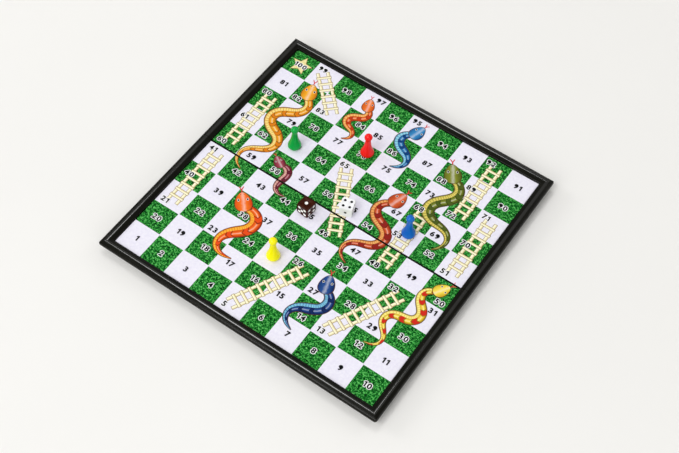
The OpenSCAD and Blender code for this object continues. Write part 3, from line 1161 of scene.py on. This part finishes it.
def die(tint, plastic, ink, turn, values, spill):
    """A die and the paint in its pips: how it is turned, its values in the order of FACE_TURNS."""
    body, slot = f"{tint}_die_body", f"{tint}_die_plastic"
    middle = rounded_die(f"{tint}_die", f"{tint}_rounded_die", body, plastic)
    pip_paint(f"{tint}_die_pips", body, middle, turn, values, spill, ink)


DARK_DIE = die_plastic("dark_die_plastic", srgb(66, 25, 10), srgb(46, 14, 5))
WHITE_DIE = die_plastic("white_die_plastic", srgb(247, 248, 249), srgb(242, 243, 244))
PIP_WHITE = flat_ink("pip_white", srgb(255, 254, 252), srgb(250, 249, 246))
PIP_BLACK = flat_ink("pip_black", srgb(4, 4, 6), srgb(14, 14, 16))
die("dark", DARK_DIE, PIP_WHITE, turn=-5.5, values=(1, 6, 5, 2, 4, 3), spill=0.25 * MM)
die("white", WHITE_DIE, PIP_BLACK, turn=16.7, values=(4, 3, 1, 6, 2, 5), spill=0.05 * MM)


# Floor, light and camera

# The floor is a wide round sheet that turns up at its edge
FLOOR_R = 2.6
FLOOR_RINGS = (0.5, 1.2)
FLOOR_BEND = 0.5
FLOOR_BEND_STEPS = 16
FLOOR_WALL = 0.7
floor_outline = [(0.0, 0.0)] + [(radius, 0.0) for radius in FLOOR_RINGS]
for step in range(FLOOR_BEND_STEPS + 1):
    turn = math.pi / 2 * step / FLOOR_BEND_STEPS
    floor_outline.append((
        FLOOR_R - FLOOR_BEND + FLOOR_BEND * math.sin(turn), FLOOR_BEND * (1 - math.cos(turn))
    ))
floor_outline.append((FLOOR_R, FLOOR_WALL))
floor_mesh = turned("floor", floor_outline, (0.0, 0.0), 0.0)
floor_mesh.materials.append(floor_paper())
floor = bpy.data.objects.new("floor", floor_mesh)
bpy.context.scene.collection.objects.link(floor)


def area_lamp(name, place, wide, deep, power):
    """A soft lamp of wide by deep that looks at the middle of the board."""
    lamp = bpy.data.lights.new(name, "AREA")
    lamp.shape = "RECTANGLE"
    lamp.size = wide
    lamp.size_y = deep
    lamp.energy = power
    holder = bpy.data.objects.new(name, lamp)
    bpy.context.scene.collection.objects.link(holder)
    holder.location = place
    holder.rotation_mode = "QUATERNION"
    holder.rotation_quaternion = (-Vector(place)).to_track_quat("-Z", "Y")


LAMP_AWAY = 4.5
# Name, direction from the board, width, depth and watts
LAMPS = (
    ("overhead", (-0.3, 0.2, 0.93), 1.8, 0.8, 30.0),
    ("high_front", (-0.1, -0.55, 0.83), 2.4, 1.2, 68.0),
    ("front", (-0.15, -0.86, 0.48), 2.6, 1.5, 44.0),
    ("left", (-0.86, -0.2, 0.46), 1.5, 1.2, 34.0),
    ("right", (0.82, -0.4, 0.4), 1.5, 1.5, 18.0),
    ("back", (0.4, 0.75, 0.52), 1.5, 1.5, 13.0),
)
for name, direction, wide, deep, power in LAMPS:
    area_lamp(name, Vector(direction) * LAMP_AWAY, wide, deep, power)

SKY_COLOUR = (1.0, 0.995, 0.985, 1.0)
SKY_STRENGTH = 0.37
world = bpy.data.worlds.new("studio")
bpy.context.scene.world = world
world.use_nodes = True
sky = world.node_tree.nodes["Background"]
sky.inputs["Color"].default_value = SKY_COLOUR
sky.inputs["Strength"].default_value = SKY_STRENGTH

# Camera solved from the printed grid in the photograph
CAMERA_PLACE = Vector((280.04, -444.53, 787.42)) * MM
CAMERA_AIM = Vector((12.05, -7.28, 9.1)) * MM
CAMERA_ROLL = math.radians(3.84)
LENS = 67.0
SENSOR_W = 36.0
CLIP_NEAR, CLIP_FAR = 0.01, 20.0
camera_data = bpy.data.cameras.new("camera")
camera_data.lens = LENS
camera_data.sensor_width = SENSOR_W
camera_data.clip_start = CLIP_NEAR
camera_data.clip_end = CLIP_FAR
camera = bpy.data.objects.new("camera", camera_data)
bpy.context.scene.collection.objects.link(camera)
camera.location = CAMERA_PLACE
camera.rotation_mode = "QUATERNION"
level = (CAMERA_AIM - CAMERA_PLACE).to_track_quat("-Z", "Y")
camera.rotation_quaternion = level @ Euler((0, 0, CAMERA_ROLL)).to_quaternion()
bpy.context.scene.camera = camera

bpy.context.scene.view_settings.view_transform = "Standard"
